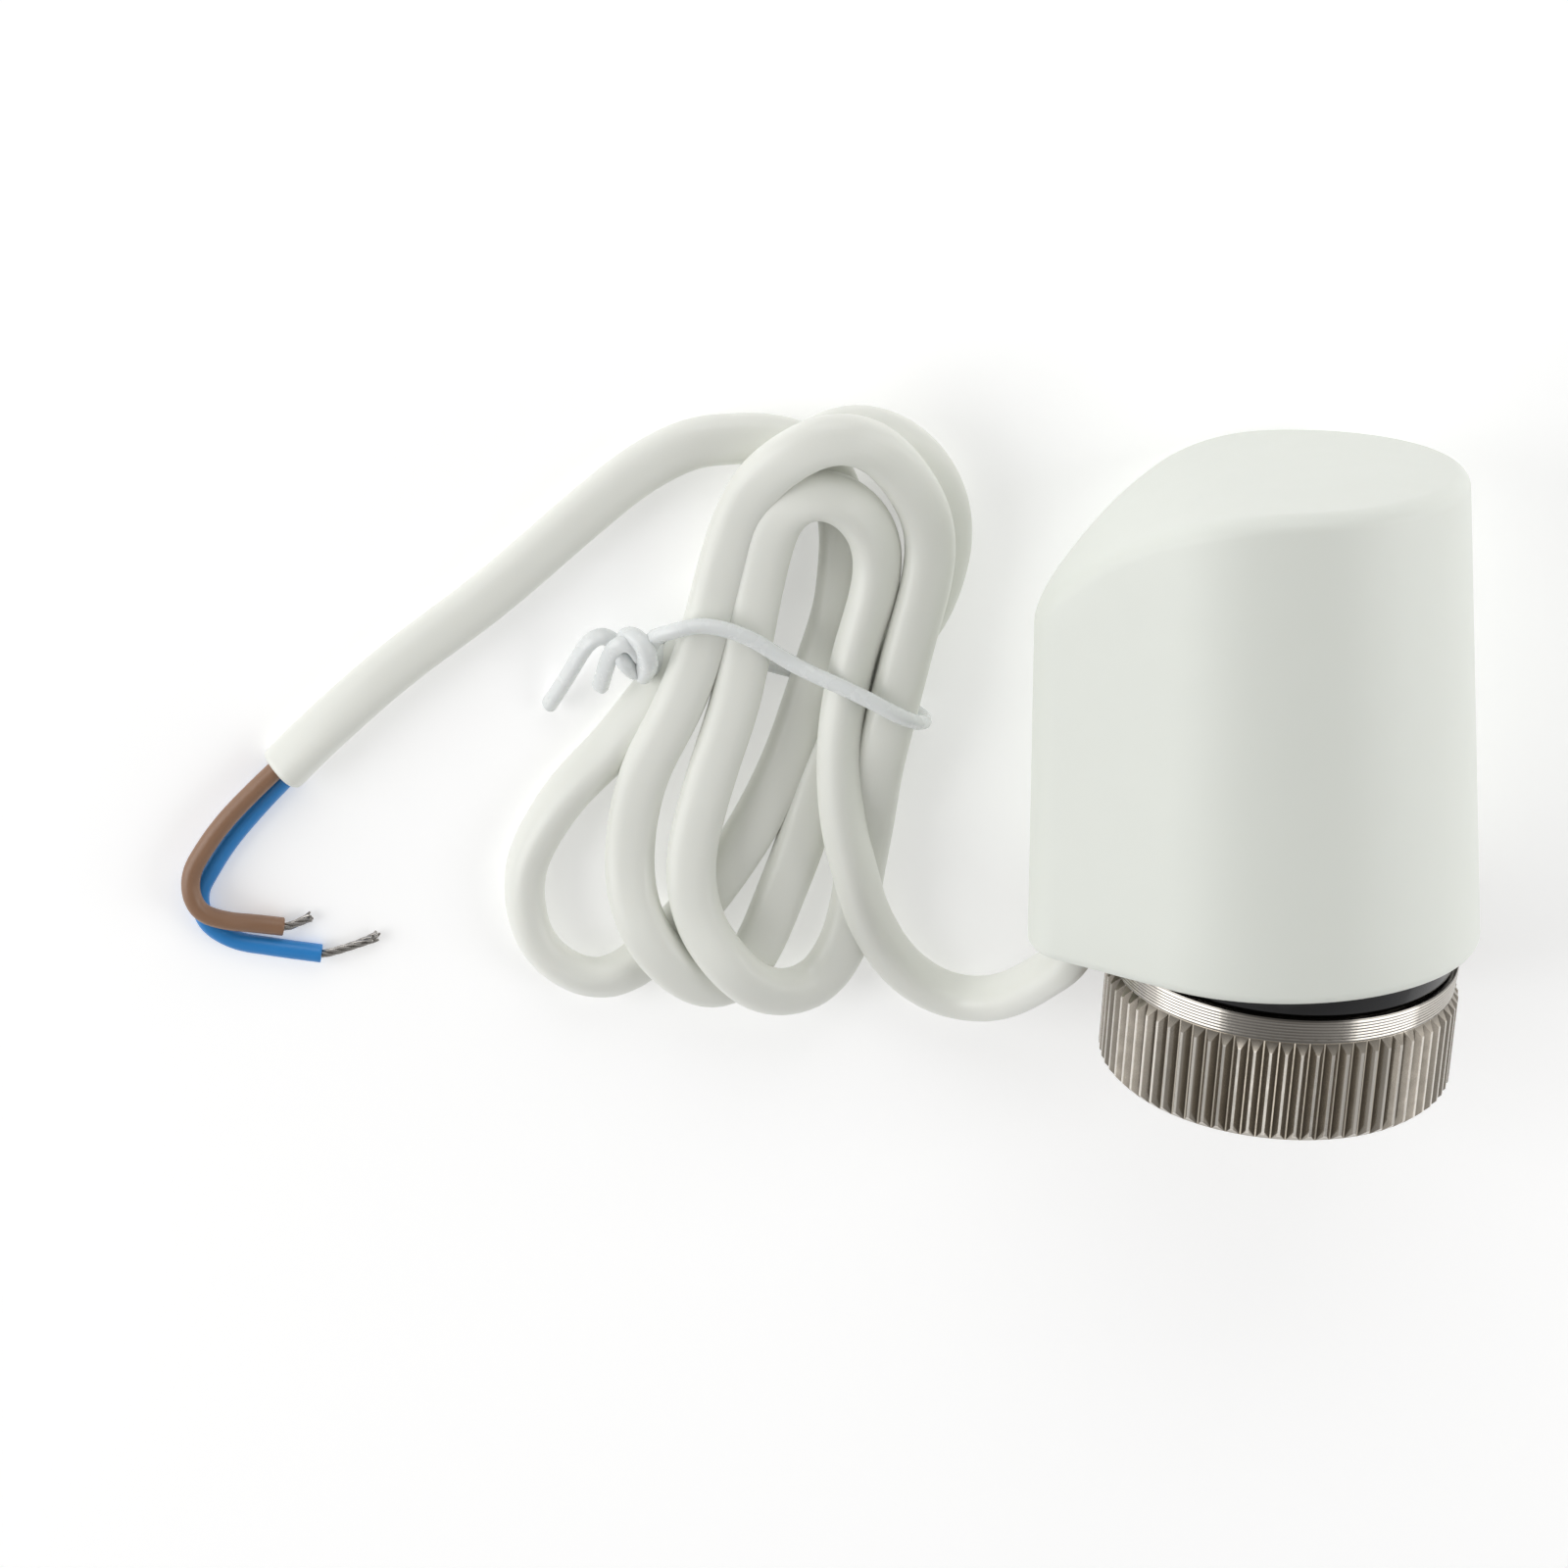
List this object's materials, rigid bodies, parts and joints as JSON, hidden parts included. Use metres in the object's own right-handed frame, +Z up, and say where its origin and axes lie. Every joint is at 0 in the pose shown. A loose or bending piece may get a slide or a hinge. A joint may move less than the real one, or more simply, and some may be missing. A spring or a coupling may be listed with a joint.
{
  "type": "thermoelectric actuator head",
  "caption": "Thermoelectric valve actuator head: drafted teardrop housing with a slanted top, loose knurled union nut, and a flat two-core lead folded into a tied hank.",
  "frame": {"origin": "on the floor under the middle of the head, which lies on its round side", "axes": "+Y along the head towards its top, +Z up from the floor, -X towards the housing tail and the lead"},
  "size_m": [0.1338, 0.0694, 0.0396],
  "materials": {
    "housing_white": "satin moulded, fine texture",
    "base_grey": "moulded",
    "inner_white": "moulded",
    "black_plastic": "smooth gloss",
    "nut_nickel": "nickel plated brass, turned and knurled",
    "spring_steel": "bright",
    "capsule_brass": "turned",
    "heater_ceramic": "fired, matt",
    "seal_rubber": "matt",
    "lead_sheath": "soft PVC, slight sheen",
    "core_brown": "PVC insulation",
    "core_blue": "PVC insulation",
    "tinned_copper": "twisted tinned strands",
    "tie_white": "plastic coated wire"
  },
  "bodies": {
    "base": {"housing_cover": "housing_white", "base_plate": "base_grey", "snap_ring": "spring_steel", "plunger_guide": "inner_white", "plunger_seal": "seal_rubber", "return_spring": "spring_steel", "wax_piston": "spring_steel", "pressure_disc": "spring_steel", "capsule_cage": "base_grey", "cage_screw_1": "spring_steel", "cage_screw_2": "spring_steel", "terminal_block": "inner_white", "terminal_live": "capsule_brass", "contact_spring_live": "capsule_brass", "inner_core_live": "core_brown", "terminal_neutral": "capsule_brass", "contact_spring_neutral": "capsule_brass", "inner_core_neutral": "core_blue", "cable_bush": "inner_white", "bush_wedge": "black_plastic", "sheath_end": "lead_sheath", "lead_exit": "lead_sheath", "lead_hank": "lead_sheath", "lead_end": "lead_sheath", "brown_core": "core_brown", "blue_core": "core_blue", "brown_strands": "tinned_copper", "blue_strands": "tinned_copper", "wire_tie": "tie_white"},
    "plunger": {"plunger_cup": "inner_white", "plunger_tip": "spring_steel", "wax_capsule": "capsule_brass", "heater_ring": "heater_ceramic"},
    "washer": {"thrust_washer": "black_plastic"},
    "slip_ring": {"nut_slip_ring": "black_plastic"},
    "nut": {"union_nut": "nut_nickel"}
  },
  "joints": [
    {"name": "plunger_slide", "type": "slide", "parent": "base", "child": "plunger", "axis": [0, -0.9994, 0.0358], "range_m": [0, 0.004], "stiffness_N_per_m": 2000, "springref_m": -0.002, "deforming": ["return_spring", "contact_spring_live", "contact_spring_neutral"]},
    {"name": "nut_slide", "type": "slide", "parent": "base", "child": "washer", "axis": [0, -0.9994, 0.0358], "range_m": [0, 0.0005]},
    {"name": "nut_tilt", "type": "hinge", "parent": "washer", "child": "slip_ring", "pos_m": [0.00332, -0.01786, 0.01928], "axis": [-0.7492, 0.0237, 0.6619], "range_deg": [0, 6.93]},
    {"name": "nut_spin", "type": "hinge", "parent": "slip_ring", "child": "nut", "pos_m": [0.00332, -0.01786, 0.01928], "axis": [0.0799, 0.9953, 0.0548], "continuous": true}
  ]
}
